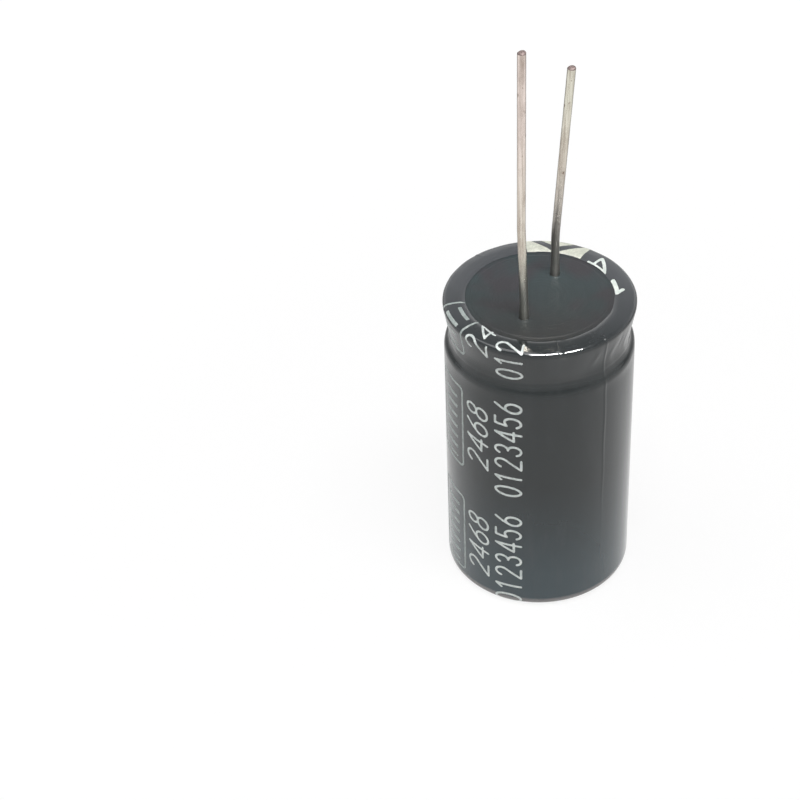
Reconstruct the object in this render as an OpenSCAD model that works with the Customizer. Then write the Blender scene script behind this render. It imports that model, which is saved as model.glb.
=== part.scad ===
// Radial electrolytic capacitor, standing on its vent end with the leads up.
// The can's axis is Z and the positive lead is on +X. All sizes are in millimetres.

/* [Can] */
// Outer diameter of the bare can
can_d = 18; // [16:0.5:22]
// Height of the bare can, from its vent face to the top of its lip
can_h = 31.7; // [28:0.1:40]
// Thickness of the drawn side wall
can_wall = 0.35; // [0.25:0.05:0.45]
// Thickness of the vent face
vent_t = 0.5; // [0.4:0.05:0.8]
// Outer radius of the corner round the vent face
corner_r = 0.6; // [0.5:0.05:1]

/* [Bead and lip] */
// Distance of the bead's centre below the top of the lip
bead_drop = 3.95; // [3.6:0.05:4.5]
// Depth of the bead rolled into the can
bead_depth = 1.05; // [0.8:0.05:1.2]
// Radius of the bead's floor
bead_r = 0.7; // [0.6:0.05:1]
// Radius of the shoulder below the bead
shoulder_r = 0.9; // [0.8:0.05:1.2]
// How far the rim stands out beyond the can's side
rim_flare = 0.07; // [0:0.01:0.15]
// Inner radius of the curl that closes the can over the seal
curl_r = 0.1; // [0.06:0.01:0.3]
// Length of the lip's flat beyond its curl
lip_flat = 0.9; // [0.5:0.05:1.2]

/* [Vent] */
// Length of each of the two score lines that cross on the vent face
score_l = 13.4; // [8:0.2:14]
// Width of a score line at the surface
score_w = 0.32; // [0.2:0.02:0.5]
// Depth of a score line
score_depth = 0.2; // [0.1:0.02:0.3]
// Turn of the score lines about the can's axis
score_turn = 20; // [0:5:90]

/* [Sleeve] */
// Thickness of the shrunk sleeve
sleeve_t = 0.13; // [0.1:0.01:0.2]
// Radius of the sleeve's own floor, where it bridges the bead
sleeve_bridge_r = 1.4; // [1:0.05:1.8]
// Diameter of the sleeve's opening round the seal
seal_open_d = 14.1; // [13.8:0.1:14.8]
// Diameter of the sleeve's opening round the vent
vent_open_d = 14.2; // [13.6:0.1:15]

/* [Polarity stripe] */
// Width of the printed stripe round the can, in degrees
stripe_deg = 43; // [30:1:70]
// Turn of the stripe's middle away from the negative lead
stripe_turn = 11; // [-20:1:20]
// Thickness of the ink
ink_t = 0.03; // [0.02:0.005:0.05]
// Distance from one arrow to the next along the stripe
mark_pitch = 18; // [15:0.5:22]
// Height of an arrow between the stripe's edges and its middle
arrow_rise = 2.6; // [1.5:0.1:4]
// Width of an arrow's line, measured along the stripe
arrow_t = 1.25; // [0.6:0.05:2]
// Distance of the middle arrow's point below the top of the lip
arrow_drop = 16.5; // [14:0.5:18]
// Height of the arrow on the rim, from the stripe's edges in to its point
rim_arrow_rise = 1.75; // [1:0.05:2.5]
// Width of that arrow's line
rim_arrow_t = 0.8; // [0.5:0.05:1.2]
// Length of a minus bar
bar_l = 5; // [3:0.5:7]
// Width of a minus bar
bar_w = 1; // [0.6:0.1:1.6]

/* [Seal] */
// Height of the seal's straight skirt below the bead
seal_skirt = 0.8; // [0.6:0.05:1.5]
// Chamfer round the seal's lower edge
seal_chamfer = 0.4; // [0.2:0.05:0.5]
// Height by which the rubber swells up inside the lip
seal_swell = 0.27; // [0.1:0.01:0.3]
// Width of the slope up to that height
seal_slope = 0.25; // [0.1:0.05:0.4]
// Diameter of the moulded step on the seal's outer face
seal_step_d = 13.1; // [11:0.1:13.5]
// Height of that step
seal_step_h = 0.05; // [0.02:0.01:0.1]

/* [Leads] */
// Diameter of a lead wire
lead_d = 0.8; // [0.6:0.05:1]
// Distance between the two leads
lead_pitch = 7.5; // [7:0.1:8.5]
// Height of the positive lead's tip above the seal
positive_l = 28.5; // [20:0.5:40]
// Height of the negative lead's tip above the seal
negative_l = 22.8; // [15:0.1:35]
// Diameter of the weld at a lead's root
weld_d = 0.92; // [0.86:0.02:1.1]
// Height of the weld above the seal
weld_rise = 1.4; // [0.5:0.1:2]
// Depth of the weld inside the seal
weld_sunk = 1.3; // [0.8:0.1:2]
// Slant of the kinked stretch of the positive lead, in degrees
positive_kink = 1.9; // [0.5:0.1:6]
// Length of that stretch
kink_l = 7; // [3:0.5:10]
// Height at which the positive lead's kink starts above its weld
root_l = 0.4; // [0.2:0.1:2]
// Slant of the negative lead, in degrees
negative_kink = 4; // [0.5:0.1:8]
// Height at which that slant starts above the weld
kink_rise = 2.3; // [0.5:0.1:6]
// Direction in which the negative lead slants, from +X
kink_turn = 117; // [90:1:140]
// Radius of the leads' bends
kink_r = 25; // [10:1:40]

/* [Terminals] */
// Diameter of the round boss that fills the seal's hole
boss_d = 2.2; // [1.8:0.1:2.6]
// Height of the boss that shows below the seal
boss_drop = 0.6; // [0.3:0.1:0.9]
// Thickness of the flattened paddle
paddle_t = 0.25; // [0.2:0.01:0.35]
// Height of the paddle's end above the foils' lower edges
paddle_short = 2; // [1:0.5:8]

/* [Winding] */
// Diameter of the hole that the winding mandrel leaves
core_d = 3.1; // [2.4:0.1:4]
// Thickness of the etched anode foil
anode_t = 0.14; // [0.1:0.01:0.2]
// Thickness of the cathode foil
cathode_t = 0.1; // [0.08:0.01:0.16]
// Thickness of a separator
paper_t = 0.11; // [0.08:0.01:0.16]
// Distance by which a separator overhangs a foil at each end
paper_margin = 1.2; // [0.6:0.1:2]
// Thickness of the tape round the winding
tape_t = 0.08; // [0.05:0.01:0.12]
// Height of the tape
tape_h = 16; // [10:1:18]
// Air between the winding and the vent face
foot_gap = 0.5; // [0.3:0.1:1]
// Air between the winding and the seal
head_gap = 1.7; // [1.4:0.1:2.5]
// Air between the winding and the can's wall
side_gap = 0.15; // [0.1:0.05:0.4]

/* [Clearance] */
// Air between two skins that lie on each other
skin_gap = 0.02; // [0.01:0.005:0.03]

/* [Hidden] */
$fn = 96;

arc_steps = 8;
turn_steps = 32;        // flats in one turn of the winding
paddle_steps = 4;       // flats across a paddle
swell_from = 28;        // degrees from a paddle at which the turns over it start to come down
swell_to = 75;          // degrees at which they lie close again
tape_overlap = 45;      // degrees
bend_steps = 4;         // chords in one bend of a lead
wire_sides = 24;        // flats round the bent stretch of a lead
wire_step = 0.01;       // by which its points stay inside the straight stretches' surface
wire_lap = 0.3;         // by which it runs on into the straight end
tip_chamfer = 0.12;

can_r = can_d / 2;
can_z = sleeve_t + skin_gap;
can_top = can_z + can_h;
floor_z = can_z + vent_t;
bead_z = can_top - bead_drop;
bead_half = sqrt(bead_depth * (2 * (shoulder_r + bead_r) - bead_depth));
lip_r = can_wall + curl_r;
lip_x = can_r + rim_flare - lip_r - lip_flat;
sleeve_out = skin_gap + sleeve_t;
ink_seat = ink_t + skin_gap;

seal_out = -(can_wall + skin_gap);
seal_r = can_r + seal_out;
seal_z = bead_z - bead_half - seal_skirt;
seal_edge_z = can_top + seal_out;
seal_land_z = seal_edge_z + seal_swell;
seal_face_z = seal_land_z + seal_step_h;

lead_x = lead_pitch / 2;
weld_z = seal_face_z - weld_sunk;
boss_z = seal_z - boss_drop;

core_r = core_d / 2;
stack = [paper_t, anode_t, paper_t, cathode_t];
strip_pitch = stack[0] + stack[1] + stack[2] + stack[3] + 4 * skin_gap;
paddle_lift = paddle_t + skin_gap;
winding_r = can_r - can_wall - side_gap;
turns = floor((winding_r - core_r - paddle_lift - tape_t - skin_gap) / strip_pitch - 1 - tape_overlap / 360);
winding_z = floor_z + foot_gap;
winding_h = seal_z - head_gap - winding_z;
foil_z = winding_z + paper_margin;
foil_h = winding_h - 2 * paper_margin;
paddle_z = foil_z + paddle_short;
paddle_half = paddle_steps / 2 * 360 / turn_steps;

function reversed(points) = [for (i = [len(points) - 1:-1:0]) points[i]];

// Points along an arc round c, from one angle to another
function arc(c, r, from, to) =
    [for (i = [0:arc_steps]) let (a = from + (to - from) * i / arc_steps) c + r * [cos(a), sin(a)]];

// The side view of the bead and of the curl above it, moved out by o from the can's face.
// bridge_r is the radius of the bead's floor on that face.
function neck(o, bridge_r) =
    let (reach = sqrt(pow(shoulder_r + bridge_r, 2) - pow(bead_half, 2)),
         tilt = atan2(bead_half, reach),
         shoulder = [can_r - shoulder_r, bead_z - bead_half],
         groove = [shoulder.x + reach, bead_z],
         curl = [can_r + rim_flare - lip_r, can_top - lip_r],
         span = curl - groove,
         lean = atan2(span.y, span.x) - acos(-(lip_r + bridge_r) / norm(span)))
    concat(arc(shoulder, shoulder_r + o, 0, tilt),
           arc(groove, bridge_r - o, 180 + tilt, 180 + lean),
           arc(curl, lip_r + o, lean, 90));

function corner(o) = arc([can_r - corner_r, can_z + corner_r], corner_r + o, -90, 0);

// The side view of a skin over the whole can, between its openings at the vent and at the seal
function skin(o, vent_r, seal_r) =
    concat([[vent_r, can_z - o]], corner(o), neck(o, sleeve_bridge_r), [[seal_r, can_top + o]]);

// The section of a layer of the sleeve between two such skins
module skin_layer(from, to, trim = 0) {
    vent_r = vent_open_d / 2 - trim;
    seal_r = seal_open_d / 2 - trim;
    polygon(concat(skin(to, vent_r, seal_r), reversed(skin(from, vent_r, seal_r))));
}

module can() {
    inner_corner_r = corner_r - can_wall;
    outside = concat([[0, can_z]], corner(0), neck(0, bead_r), [[lip_x, can_top]]);
    inside = concat([[0, floor_z]],
                    arc([can_r - corner_r, floor_z + inner_corner_r], inner_corner_r, -90, 0),
                    neck(-can_wall, bead_r), [[lip_x, can_top - can_wall]]);
    color("gainsboro") difference() {
        rotate_extrude() polygon(concat(outside, reversed(inside)));
        for (turn = [0, 90]) rotate([0, 0, score_turn + turn]) score_line();
    }
}

// One V-shaped score line, cut up into the vent face
module score_line() {
    translate([-score_l / 2, 0, can_z]) rotate([90, 0, 90])
        linear_extrude(score_l) polygon([[-score_w / 2, 0], [score_w / 2, 0], [0, score_depth]]);
}

module sleeve() {
    color([0.09, 0.11, 0.12]) difference() {
        rotate_extrude() skin_layer(skin_gap, sleeve_out);
        stripe_band(sleeve_out - ink_seat, sleeve_out + 0.1, 0.5);
    }
}

// The stripe's sector of a layer of the sleeve, from its opening at the vent to the one at the seal
module stripe_band(from, to, trim = 0) {
    rotate([0, 0, 180 + stripe_turn - stripe_deg / 2])
        rotate_extrude(angle = stripe_deg) skin_layer(from, to, trim);
}

// A bent line that points along +Y, as it is cut through the ink, with its point at the origin
module arrow_cut(rise, line) {
    spread = 1.4;
    x = spread * (can_r + sleeve_out) * sin(stripe_deg / 2);
    drop = spread * rise;
    linear_extrude(6) polygon([[0, 0], [x, -drop], [x, -drop - line], [0, -line],
                               [-x, -drop - line], [-x, -drop]]);
}

module polarity_stripe() {
    side_x = can_r + sleeve_out;
    middle_z = can_top - arrow_drop;
    bar_z = middle_z - (arrow_rise + arrow_t) / 2;
    rim_cut = 0.3;
    color([0.71, 0.74, 0.7]) difference() {
        stripe_band(sleeve_out - ink_t, sleeve_out);
        rotate([0, 0, stripe_turn]) {
            // The rim's arrow is cut from above, and its limbs run out over the curl
            translate([-seal_open_d / 2, 0, can_top - rim_cut])
                rotate([0, 0, -90]) arrow_cut(rim_arrow_rise, rim_arrow_t);
            translate([2 - side_x, 0, middle_z]) rotate([90, 0, -90]) arrow_cut(arrow_rise, arrow_t);
            for (side = [-1, 1])
                translate([-side_x, 0, bar_z + side * mark_pitch / 2])
                    cube([2, bar_w, bar_l], center = true);
        }
    }
}

module end_seal() {
    side = concat([[0, seal_z], [seal_r - seal_chamfer, seal_z], [seal_r, seal_z + seal_chamfer]],
                  neck(seal_out, bead_r),
                  [[lip_x - skin_gap, seal_edge_z], [lip_x - skin_gap - seal_slope, seal_land_z],
                   [seal_step_d / 2, seal_land_z], [seal_step_d / 2, seal_face_z], [0, seal_face_z]]);
    color([0.16, 0.16, 0.17]) difference() {
        rotate_extrude() polygon(side);
        for (side = [-1, 1]) translate([side * lead_x, 0, 0]) seal_hole();
    }
}

// The stepped hole for a terminal's boss, its weld and its lead
module seal_hole() {
    boss_hole_r = boss_d / 2 + skin_gap;
    mouth = seal_chamfer;
    translate([0, 0, seal_z - 1]) cylinder(h = weld_z + skin_gap - seal_z + 1, r = boss_hole_r);
    translate([0, 0, seal_z - 1]) cylinder(h = 1 + mouth, r1 = boss_hole_r + 1 + mouth, r2 = boss_hole_r);
    translate([0, 0, weld_z]) cylinder(h = weld_sunk + 1, r = weld_d / 2 + skin_gap);
}

// The chords of a bend from one slant to another, as [length, slant] steps
function bend(from, to) =
    let (step = (to - from) / bend_steps)
    [for (i = [0:bend_steps - 1]) [2 * kink_r * sin(abs(step) / 2), from + (i + 0.5) * step]];

// Where the wire is after its first i steps
function walk(steps, i) =
    i == 0 ? [0, 0] : walk(steps, i - 1) + steps[i - 1][0] * [sin(steps[i - 1][1]), cos(steps[i - 1][1])];

// A wire through all the steps, with a ring of points at each joint
module bent_wire(steps) {
    n = len(steps);
    r = lead_d / 2 - wire_step;
    points = [for (i = [0:n], k = [0:wire_sides - 1])
        let (p = walk(steps, i),
             slant = (steps[max(i - 1, 0)][1] + steps[min(i, n - 1)][1]) / 2,
             a = 360 * k / wire_sides)
        [p.x + r * cos(a) * cos(slant), r * sin(a), p.y - r * cos(a) * sin(slant)]];
    sides = [for (i = [0:n - 1], k = [0:wire_sides - 1])
        let (a = i * wire_sides + k, b = i * wire_sides + (k + 1) % wire_sides)
        [a, a + wire_sides, b + wire_sides, b]];
    ends = [[for (k = [0:wire_sides - 1]) k],
            [for (k = [wire_sides - 1:-1:0]) n * wire_sides + k]];
    polyhedron(points, concat(sides, ends));
}

// The welded root of a lead, which stands on its terminal's boss
module weld() {
    cylinder(h = weld_sunk + weld_rise / 2, d = weld_d);
    translate([0, 0, weld_sunk + weld_rise / 2]) cylinder(h = weld_rise / 2, d1 = weld_d, d2 = lead_d);
}

// A lead from its weld up: the steps that bend it, then a straight end up to a height above the seal
module lead(steps, slant, height) {
    start_z = weld_sunk + weld_rise / 2;
    last = walk(steps, len(steps));
    end_l = (height + weld_sunk - start_z - last.y) / cos(slant);
    weld();
    rotate([0, 0, kink_turn]) translate([0, 0, start_z]) {
        bent_wire(concat(steps, [[wire_lap, slant]]));
        translate([last.x, 0, last.y]) rotate([0, slant, 0]) {
            cylinder(h = end_l - tip_chamfer, d = lead_d);
            translate([0, 0, end_l - tip_chamfer])
                cylinder(h = tip_chamfer, d1 = lead_d, d2 = lead_d - 2 * tip_chamfer);
        }
    }
}

module positive_lead() {
    k = -positive_kink;
    steps = concat([[weld_rise / 2 + root_l, 0]], bend(0, k), [[kink_l, k]], bend(k, 0));
    color([0.66, 0.63, 0.6]) translate([lead_x, 0, weld_z]) lead(steps, 0, positive_l);
}

module negative_lead() {
    steps = concat([[weld_rise / 2 + kink_rise, 0]], bend(0, negative_kink));
    color([0.62, 0.6, 0.58]) translate([-lead_x, 0, weld_z]) lead(steps, negative_kink, negative_l);
}

// Distance of each strip's inner face from the start of its turn: separator, anode, separator, cathode
function strip_from(i) = i == 0 ? 0 : strip_from(i - 1) + stack[i - 1] + skin_gap;

// The turn on which a paddle lies, so that it comes nearest to its lead
function paddle_turn(angle, i) =
    max(1, round((lead_x - paddle_lift + paddle_t / 2 - core_r - strip_from(i) - stack[i]) / strip_pitch - angle / 360));

positive_turn = paddle_turn(0, 1);
negative_turn = paddle_turn(180, 3);

// How far the turns swell over a paddle, by the angle from its middle
function swell(away) =
    away <= swell_from ? 1 : away >= swell_to ? 0
    : (1 + cos(180 * (away - swell_from) / (swell_to - swell_from))) / 2;

// The lift of a strip at winding angle a, over a paddle at some angle under all turns from first_turn on
function lift(a, angle, first_turn) =
    a < angle + 360 * first_turn - 180 ? 0
    : let (away = (a - angle) % 360) paddle_lift * swell(min(away, 360 - away));

// Points along the winding from one angle to another, at a distance o from the start of the turn.
// over_positive and over_negative are the first turns that lie over each paddle.
function turn_points(o, from, to, over_positive, over_negative) =
    let (n = round((to - from) / 360 * turn_steps))
    [for (i = [0:n])
        let (a = from + (to - from) * i / n,
             r = core_r + strip_pitch * a / 360 + o
                 + lift(a, 0, over_positive) + lift(a, 180, over_negative))
        r * [cos(a), sin(a)]];

// The section of a strip of thickness t between two winding angles
module strip(o, t, from, to, over_positive, over_negative) {
    polygon(concat(turn_points(o, from, to, over_positive, over_negative),
                   reversed(turn_points(o + t, from, to, over_positive, over_negative))));
}

// One of the four strips of the stack, over all turns
module wound_strip(i) {
    strip(strip_from(i), stack[i], 0, 360 * turns,
          i <= 1 ? positive_turn + 1 : positive_turn, negative_turn + 1);
}

module separator(i) {
    translate([0, 0, winding_z]) linear_extrude(winding_h) wound_strip(i);
}

module inner_separator() {
    color("burlywood") separator(0);
}

module outer_separator() {
    color("wheat") separator(2);
}

module foil(i) {
    translate([0, 0, foil_z]) linear_extrude(foil_h) wound_strip(i);
}

module anode_foil() {
    color("slategray") foil(1);
}

module cathode_foil() {
    color("lightsteelblue") foil(3);
}

module winding_tape() {
    end = 360 * turns;
    color("peru") translate([0, 0, winding_z + (winding_h - tape_h) / 2]) linear_extrude(tape_h)
        strip(strip_pitch, tape_t, end - 360, end + tape_overlap, positive_turn, negative_turn);
}

// The section of the paddle that lies on strip i, on the given turn at the given angle
module paddle(angle, i, turn) {
    middle = angle + 360 * turn;
    strip(strip_from(i) + stack[i] + skin_gap, paddle_t,
          middle - paddle_half, middle + paddle_half, turns + 2, turns + 2);
}

// A terminal: the paddle between the turns, its root drawn out to the round boss, and the boss
module terminal(x, angle, i, turn) {
    root_z = winding_z + winding_h;
    slice = 0.05;
    translate([0, 0, paddle_z]) linear_extrude(root_z - paddle_z + slice) paddle(angle, i, turn);
    hull() {
        translate([0, 0, root_z]) linear_extrude(slice) paddle(angle, i, turn);
        translate([x, 0, boss_z]) cylinder(h = slice, d = boss_d, $fn = 32);
    }
    translate([x, 0, boss_z]) cylinder(h = weld_z - boss_z, d = boss_d);
}

module positive_tab() {
    color("silver") terminal(lead_x, 0, 1, positive_turn);
}

module negative_tab() {
    color("silver") terminal(-lead_x, 180, 3, negative_turn);
}

can();
sleeve();
polarity_stripe();
end_seal();
positive_lead();
negative_lead();
positive_tab();
negative_tab();
anode_foil();
cathode_foil();
inner_separator();
outer_separator();
winding_tape();
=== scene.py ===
import math
import bmesh
import bpy
import numpy as np
from mathutils import Matrix, Vector


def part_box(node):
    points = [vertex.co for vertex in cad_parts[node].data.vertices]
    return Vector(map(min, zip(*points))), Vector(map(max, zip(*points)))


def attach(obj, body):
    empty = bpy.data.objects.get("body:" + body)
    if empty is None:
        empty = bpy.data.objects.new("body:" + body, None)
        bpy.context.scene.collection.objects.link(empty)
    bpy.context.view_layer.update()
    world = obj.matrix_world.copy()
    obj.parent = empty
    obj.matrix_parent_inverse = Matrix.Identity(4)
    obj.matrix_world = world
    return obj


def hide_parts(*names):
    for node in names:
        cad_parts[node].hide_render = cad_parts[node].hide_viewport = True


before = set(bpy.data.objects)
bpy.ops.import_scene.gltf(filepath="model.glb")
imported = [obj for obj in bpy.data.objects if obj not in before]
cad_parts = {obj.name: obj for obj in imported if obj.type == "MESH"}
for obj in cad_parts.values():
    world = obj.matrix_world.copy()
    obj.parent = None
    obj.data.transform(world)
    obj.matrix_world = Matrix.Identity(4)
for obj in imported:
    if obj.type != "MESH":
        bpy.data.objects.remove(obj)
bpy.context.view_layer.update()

mm = 0.001


# Sizes that come from the frame, in millimetres

def nodeBox(name):
    low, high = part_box(name)
    return low / mm, high / mm


canLow, canHigh = nodeBox("can")
sleeveHigh = nodeBox("sleeve")[1]
sealLow, sealHigh = nodeBox("end_seal")
# the bead lies "drop" below the can's top, and the curled rim stands out by "flare"
neck = {"drop": 3.95, "depth": 1.05, "radius": 0.7, "shoulder": 0.9, "flare": 0.07, "lip": 0.45}
canRadius = canHigh.x - neck["flare"]
beadZ = canHigh.z - neck["drop"]
front = (0.92, 0.38)       # the part's front, as a level direction from its axis
print("frame loaded: can radius %.2f mm, sleeve top %.2f mm" % (canRadius, sleeveHigh.z))


# Side views: rows of (r, z) in millimetres, from the vent end up

def arcRow(centre, radius, start, stop, step):
    count = max(4, round(abs(math.radians(stop - start)) * radius / step))
    angles = np.radians(np.linspace(start, stop, count + 1))
    return np.column_stack([centre[0] + radius * np.cos(angles), centre[1] + radius * np.sin(angles)])


def lineRow(start, stop, step):
    start, stop = np.array(start, float), np.array(stop, float)
    count = max(1, round(float(np.linalg.norm(stop - start)) / step))
    return start + np.outer(np.linspace(0, 1, count + 1), stop - start)


def joinRows(*rows):
    kept = [rows[0][0]]
    for point in np.concatenate(rows)[1:]:
        if np.linalg.norm(point - kept[-1]) > 1e-4:
            kept.append(point)
    return np.array(kept)


# The rolled bead, the cone above it and the curl at the rim, moved out by lift from the can's face
def neckRows(lift, floorRadius, step):
    shoulder, lip = neck["shoulder"], neck["lip"]
    half = math.sqrt(neck["depth"] * (2 * (shoulder + neck["radius"]) - neck["depth"]))
    reach = math.sqrt((shoulder + floorRadius) ** 2 - half ** 2)
    tilt = math.degrees(math.atan2(half, reach))
    low = Vector((canRadius - shoulder, beadZ - half))
    groove = Vector((low.x + reach, beadZ))
    curl = Vector((canHigh.x - lip, canHigh.z - lip))
    span = curl - groove
    lean = math.degrees(math.atan2(span.y, span.x) - math.acos(-(lip + floorRadius) / span.length))
    top = arcRow(curl, lip + lift, lean, 90, step)
    floor = arcRow(groove, floorRadius - lift, 180 + tilt, 180 + lean, step)
    foot = arcRow(low, shoulder + lift, 0, tilt, step)
    return joinRows(foot, floor, lineRow(floor[-1], top[0], step), top)


# How a flat (u, s) drawing lies on the film: u is the angle round the can, s the way up its side view

film = {
    "lift": 0.13,              # outer face above the can's own, which leaves room for the ink
    "thickness": 0.11,
    "cornerRadius": 0.6,
    "bridgeRadius": 1.4,       # the film spans the bead on a wider curve than the metal
    "ventOpening": 7.1,
    "sealOpening": 7.05,
    "sag": 0.19,               # how far its free edge sinks on to the rubber
    "sagFrom": 7.75,
    "crown": 0.08,             # how far its top falls away from there to the rim
    "crownFrom": 7.85,
    "thinEdge": 0.65,          # share of the thickness that it loses where it sinks or falls away
    "columns": 400,
    "foldColumns": 24,
    "fineStep": 0.11,
    "sideStep": 0.42,
    "endStep": 0.2,
    "innerEvery": 5,           # the hidden inner face keeps one row in so many
    "foldTurn": 65.5,          # the tube was pressed flat once, which left two folds
    "foldReach": 0.04,         # columns lie closer together this many radians to each side
    "foldHeight": 0.035,
    "foldWidth": 0.14,
    "foldWander": (0.004, 0.9),
    "foldGrowth": (6, 14, 0.15),    # height where it starts to rise, over how much, and its least share
    "foldRim": (8.2, 0.4),     # it fades on the rim inside this radius
    "tightness": 0.012,        # how much closer it lies than its plain side view
    "bodyWave": 0.007,
    # waves: height, level above the bead or the can's top, reach up and down
    "puckers": (0.036, -0.5, 1.3),
    "shoulderWave": (0.03, -1.1, 0.55),
    "coneWave": (0.018, 2.6, 1.2),
    "rimWave": (0.016, -0.15, 0.35),
    # short creases: degrees round the can, height above its top, half height, half width, rise
    "creases": ((36.4, -0.2, 0.4, 0.24, 0.10), (58.5, -2.0, 1.2, 0.30, 0.035),
                (72.5, -2.4, 1.3, 0.35, 0.04), (79.0, -1.4, 0.9, 0.30, -0.035),
                (88.0, -2.6, 1.2, 0.40, 0.04)),
    "creaseWander": (0.03, 2.1),
    "edgeWave": 0.07,
    "edgeReach": 0.5,
    "calmEnds": (60, 0.25),    # its waves are this share at its ends, and full 1/60 of its length in
    # where it spans the bead less deeply: degrees round the can, half width in degrees, height
    "bulges": ((-26, 26, 0.26), (63, 9, 0.20), (84, 17, 0.24), (145, 24, 0.16), (190, 13, -0.06),
               (238, 20, 0.18), (268, 9, -0.05)),
    "bulgeLevel": -0.3,
}


def filmRows(lift):
    corner = film["cornerRadius"]
    low, high = canLow.z, canHigh.z
    foot = arcRow((canRadius - corner, low + corner), corner + lift, -90, 0, film["fineStep"])
    bead = neckRows(lift, film["bridgeRadius"], film["fineStep"])
    rows = joinRows(
        lineRow((film["ventOpening"], low - lift), foot[0], film["endStep"]), foot,
        lineRow(foot[-1], bead[0], film["sideStep"]), bead,
        lineRow(bead[-1], (film["sealOpening"], high + lift), film["fineStep"]))
    rows[:, 1] -= film["sag"] * freeEdge(rows) + film["crown"] * crownFall(rows)
    return rows


# 1 at the film's free edge round the seal, 0 from a little way out
def freeEdge(rows):
    inward = np.clip((film["sagFrom"] - rows[:, 0]) / (film["sagFrom"] - film["sealOpening"]), 0, 1)
    return np.where(rows[:, 1] > beadZ, inward ** 2, 0)


# 1 at the top of the curl, 0 at its side and where the flat top starts to fall
def crownFall(rows):
    curlX, curlZ = canHigh.x - neck["lip"], canHigh.z - neck["lip"]
    onTop = np.clip((rows[:, 0] - film["crownFrom"]) / (curlX - film["crownFrom"]), 0, 1)
    onCurl = np.clip((rows[:, 1] - curlZ) / (neck["lip"] + film["lift"]), 0, 1)
    return np.where(rows[:, 0] < curlX, onTop ** 2 * (rows[:, 1] > beadZ), onCurl)


outerRows = filmRows(film["lift"])
steps = np.linalg.norm(np.diff(outerRows, axis=0), axis=1)
rowWay = np.concatenate([[0], np.cumsum(steps)])
filmLength = rowWay[-1]
slope = np.gradient(outerRows, rowWay, axis=0)
slope /= np.linalg.norm(slope, axis=1)[:, None]
rowNormal = np.column_stack([slope[:, 1], -slope[:, 0]])


def waves(seed, count, low, high):
    draws = np.random.default_rng(seed)
    return [(int(draws.integers(low, high)), draws.uniform(0, 2 * math.pi), draws.uniform(-0.5, 0.5))
            for _ in range(count)]


bodyWaves = waves(11, 5, 2, 9)
puckerWaves = waves(23, 7, 9, 34)
edgeWaves = waves(31, 5, 3, 19)
dentWaves = waves(47, 6, 4, 17)
rimWaves = waves(59, 5, 9, 31)


def wavy(u, z, parts):
    total = 0
    for turns, phase, lean in parts:
        total = total + np.sin(turns * u + phase + lean * z)
    return total / len(parts)


def angleApart(u, middle):
    return (u - middle + math.pi) % (2 * math.pi) - math.pi


# 1 where all the distances are 0, and smoothly down to 0 away from there
def hump(*distances):
    return np.exp(-sum(distance ** 2 for distance in distances))


# how far a crease turns to and fro as it rises, in radians
def wander(z, turn, rate):
    return turn * np.sin(rate * z)


# Height of the film above its plain side view: it shrank unevenly, puckers in the bead and keeps its folds
def shrinkage(u, r, z):
    def band(name, base):
        rise, level, reach = film[name]
        return rise * hump((z - base - level) / reach)

    patchy = 0.55 + 0.45 * wavy(u, 0.7 * z, dentWaves[:3])
    height = film["bodyWave"] * wavy(u, 0.25 * z, bodyWaves)
    height = height + band("puckers", beadZ) * patchy * wavy(u, 1.1 * z, puckerWaves)
    height = height + band("shoulderWave", beadZ) * (wavy(u, 0, dentWaves[2:5]) - 0.5)
    for middle, halfWidth, rise in film["bulges"]:
        away = angleApart(u, math.radians(middle)) / math.radians(halfWidth)
        height = height + rise * hump(away, z - beadZ - film["bulgeLevel"])
    for middle, level, halfHeight, halfWidth, rise in film["creases"]:
        away = angleApart(u, math.radians(middle) + wander(z, *film["creaseWander"])) * r / halfWidth
        height = height + rise * hump(away, (z - canHigh.z - level) / halfHeight)
    height = height + band("coneWave", beadZ) * wavy(u, 1.7 * z, dentWaves)
    height = height + band("rimWave", canHigh.z) * (wavy(u, 0, rimWaves) - 0.5)
    growFrom, growOver, least = film["foldGrowth"]
    rimFrom, rimOver = film["foldRim"]
    strong = np.clip((z - growFrom) / growOver, least, 1) * np.clip((r - rimFrom) / rimOver, 0, 1)
    for side in (0, math.pi):
        away = angleApart(u, math.radians(film["foldTurn"]) + side + wander(z, *film["foldWander"])) * r
        height = height + film["foldHeight"] * strong * hump(away / film["foldWidth"])
    return height - film["tightness"]


# Points on the film for arrays of u and s, at a height above it, in metres
def onFilm(u, s, lift=0.0):
    ends = np.clip(s / filmLength, 0, 1)
    reach = film["edgeReach"]
    nearEnds = np.exp(-s / reach) - np.exp((s - filmLength) / reach)
    edge = film["edgeWave"] * wavy(u, 0, edgeWaves) * nearEnds
    s = np.clip(s, 0, filmLength)
    r = np.interp(s, rowWay, outerRows[:, 0])
    z = np.interp(s, rowWay, outerRows[:, 1])
    nr = np.interp(s, rowWay, rowNormal[:, 0])
    nz = np.interp(s, rowWay, rowNormal[:, 1])
    part, least = film["calmEnds"]
    calm = np.clip(np.minimum(ends, 1 - ends) * part, least, 1)
    height = shrinkage(u, r, z) * calm + lift
    r = r + nr * height + nz * edge
    z = z + nz * height
    return np.stack([r * np.cos(u), r * np.sin(u), z], axis=-1) * mm


# Meshes

def makeObject(name, points, faces, finish, body="root"):
    mesh = bpy.data.meshes.new(name)
    mesh.from_pydata([tuple(p) for p in points], [], faces)
    mesh.validate()
    mesh.materials.append(finish)
    mesh.polygons.foreach_set("use_smooth", [True] * len(mesh.polygons))
    mesh.update()
    piece = bpy.data.objects.new(name, mesh)
    bpy.context.scene.collection.objects.link(piece)
    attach(piece, body)
    return piece


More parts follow.
